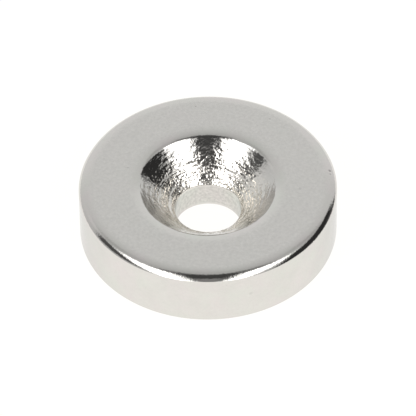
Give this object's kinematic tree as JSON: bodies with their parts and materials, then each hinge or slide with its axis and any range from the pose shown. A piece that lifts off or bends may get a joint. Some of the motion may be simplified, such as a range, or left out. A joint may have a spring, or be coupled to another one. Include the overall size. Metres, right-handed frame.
{
  "type": "countersunk ring magnet",
  "caption": "Flat nickel plated ring magnet with a countersunk screw hole through its middle, held on by a flush screw.",
  "frame": {"origin": "centre of the flat back face, on the hole's axis", "axes": "+Z along the hole's axis, out of its countersunk mouth; X and Y lie in the back face and are alike, because the part is round"},
  "size_m": [0.02, 0.02, 0.005],
  "materials": {
    "nickel_plate": "bright nickel plating over a tumbled sintered body: satin front face, shiny rim, fine turning marks in the countersink"
  },
  "bodies": {
    "root": {"ring_magnet": "nickel_plate"}
  },
  "joints": []
}
